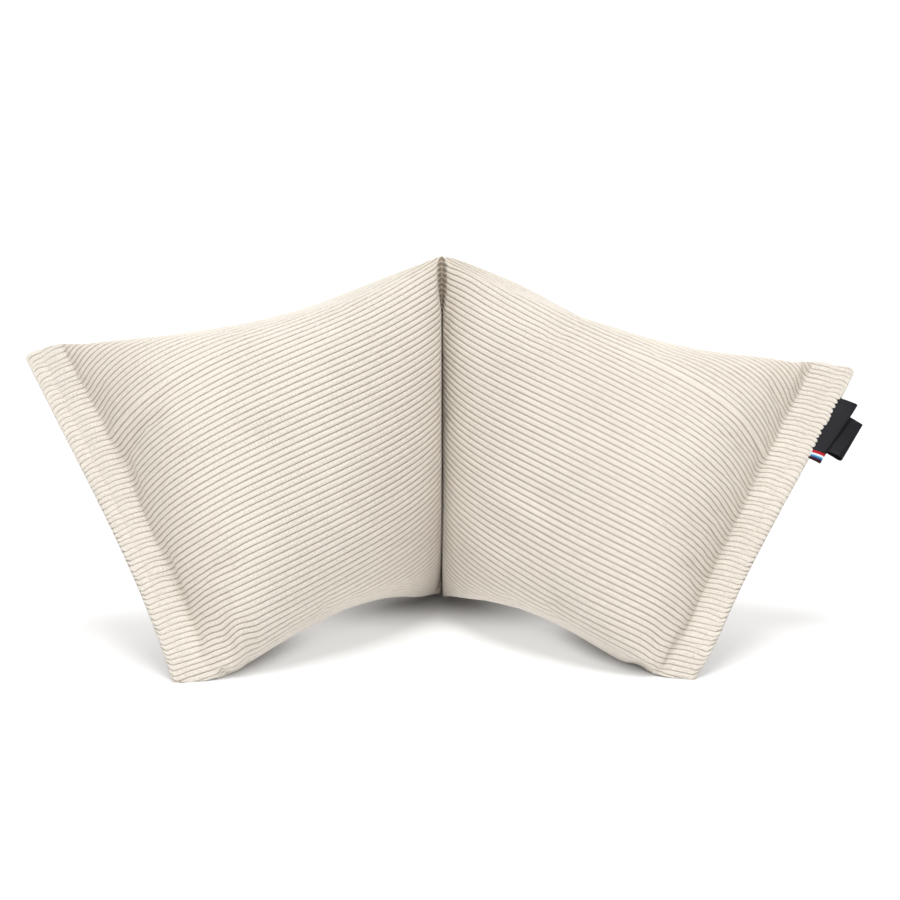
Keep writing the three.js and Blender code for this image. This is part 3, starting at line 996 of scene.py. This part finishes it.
# Floor, backdrop and light
studio = {
    "floor": (0.54, 0.54, 0.54, 1),
    "floorPaintedGlow": 0.43,
    "paintedContactReach": 0.025,
    "paintedContactShadowEnds": (0.0, 0.45),  # painted contact shadow: how open the floor is where its glow stops, and where it glows in full
    "paintedFootShadowEnds": (0.03, 0.14),  # painted shadow round the foot of the centre seam: the same by distance from it
    "paintedFootShadowShape": (0.75, 1, 1),
    "floorSize": 90.0,
    "backdropHeight": 30.0,
    "backdropSides": 64,
    "surround": 0.06,
    "lights": (
        {"name": "topLight", "towards": (0, -0.15, 1), "spread": 26, "strength": 2.15},
        {"name": "backLight", "towards": (0, 0.6, 0.8), "spread": 45, "strength": 1.6},
        {"name": "frontLight", "towards": (0, -1, 0.25), "spread": 50, "strength": 1.5},
        {"name": "leftLight", "towards": (-0.7, -0.6, 0.4), "spread": 50, "strength": 0.3},
        {"name": "rightLight", "towards": (0.7, -0.6, 0.4), "spread": 50, "strength": 0.35},
    ),
}


def softLight(name, towards, spread, strength):
    data = bpy.data.lights.new(name, "SUN")
    data.angle = math.radians(spread)
    data.energy = strength
    light = bpy.data.objects.new(name, data)
    light.rotation_euler = Vector(towards).to_track_quat("Z", "Y").to_euler()
    bpy.context.scene.collection.objects.link(light)


def floorPiece():
    size = studio["floorSize"] / 2
    corners = [(-size, -size, 0), (size, -size, 0), (size, size, 0), (-size, size, 0)]
    piece = newPiece("studioFloor", corners, [(0, 1, 2, 3)])
    material, graph, shader = newMaterial("paleFloorPaintedGlow", {
        "Base Color": studio["floor"], "Roughness": 0.9, "Specular IOR Level": 0.1,
        "Emission Strength": studio["floorPaintedGlow"],
    })
    # The floor glows though it is no lamp, and lights the cloth from below; the glow is taken off as painted
    # contact shadow where the floor is closed in, and as a painted shadow round the foot of the centre seam
    openness = graph.value(
        "ShaderNodeAmbientOcclusion", {"samples": 8}, {"Distance": studio["paintedContactReach"]}, 1
    )
    place = graph.value(
        "ShaderNodeVectorMath", {"operation": "MULTIPLY"}, {0: graph.objectPlace(), 1: studio["paintedFootShadowShape"]}
    )
    fromFoot = graph.value("ShaderNodeVectorMath", {"operation": "LENGTH"}, {0: place}, 1)
    paintedGlow = graph.ease(openness, *studio["paintedContactShadowEnds"]) * graph.ease(fromFoot, *studio["paintedFootShadowEnds"])
    shade = graph.value("ShaderNodeCombineXYZ", None, dict.fromkeys(range(3), paintedGlow))
    graph.tree.links.new(shade.output, shader.inputs["Emission Color"])
    piece.data.materials.append(material)


def backdropPiece():  # white behind the floor's edge; it gives no light of its own
    turns = np.linspace(0, 2 * math.pi, studio["backdropSides"], endpoint=False)
    circle = np.stack([np.cos(turns), np.sin(turns)], -1) * studio["floorSize"] / 2
    points = [(x, y, z) for z in (-1, studio["backdropHeight"]) for x, y in circle]
    count = len(turns)
    faces = [(i, i + count, (i + 1) % count + count, (i + 1) % count) for i in range(count)]
    piece = newPiece("studioBackdrop", points, faces)
    material, _, _ = newMaterial("whiteBackdrop", {
        "Base Color": (0, 0, 0, 1), "Emission Color": (1, 1, 1, 1), "Emission Strength": 1.0,
    })
    piece.data.materials.append(material)
    piece.visible_diffuse = piece.visible_glossy = piece.visible_shadow = False


floorPiece()
backdropPiece()
for light in studio["lights"]:
    softLight(**light)
world = bpy.data.worlds.new("studioAir")
bpy.context.scene.world = world
world.use_nodes = True
world.node_tree.nodes["Background"].inputs["Color"].default_value = (1, 1, 1, 1)
world.node_tree.nodes["Background"].inputs["Strength"].default_value = studio["surround"]
print("studio lit")

# Parent the pieces to the root body, and hide the CAD parts that they stand in for
for piece in [cover, frontRibbon, careRibbon] + sewn:
    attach(piece, "root")
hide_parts("pillow_cover")
for piece, label in ((frontRibbon, labels[0]), (careRibbon, labels[1])):
    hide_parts(label["name"])
    label["name"] + "_ribbon"
    reach = sum(label["reach"]) / 2 + labelLook["caughtDepth"]
    (label["end"] - label["start"]) * metre
    2 * reach * metre
